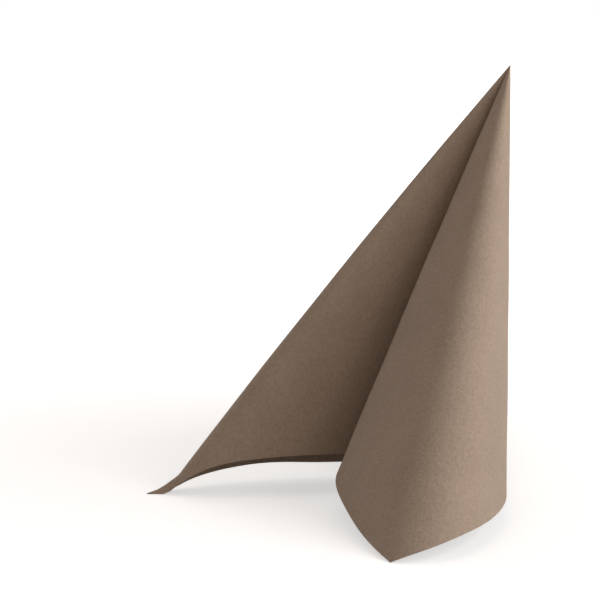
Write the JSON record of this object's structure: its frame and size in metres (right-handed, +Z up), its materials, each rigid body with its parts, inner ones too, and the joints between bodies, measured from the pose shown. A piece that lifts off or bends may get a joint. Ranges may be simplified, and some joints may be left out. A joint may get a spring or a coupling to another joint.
{
  "type": "paper napkin",
  "caption": "Square paper napkin pinched near its middle, standing as a pleated cone on its corners, with one corner turned out on the table.",
  "frame": {"origin": "middle of the footprint, on the surface that the napkin stands on", "axes": "+X to the viewer's right, +Y away from the viewer, from the front corner to the back corner, +Z up"},
  "size_m": [0.1884, 0.3662, 0.2092],
  "materials": {
    "paper": "matt"
  },
  "bodies": {
    "root": {"napkin": "paper"}
  },
  "joints": []
}
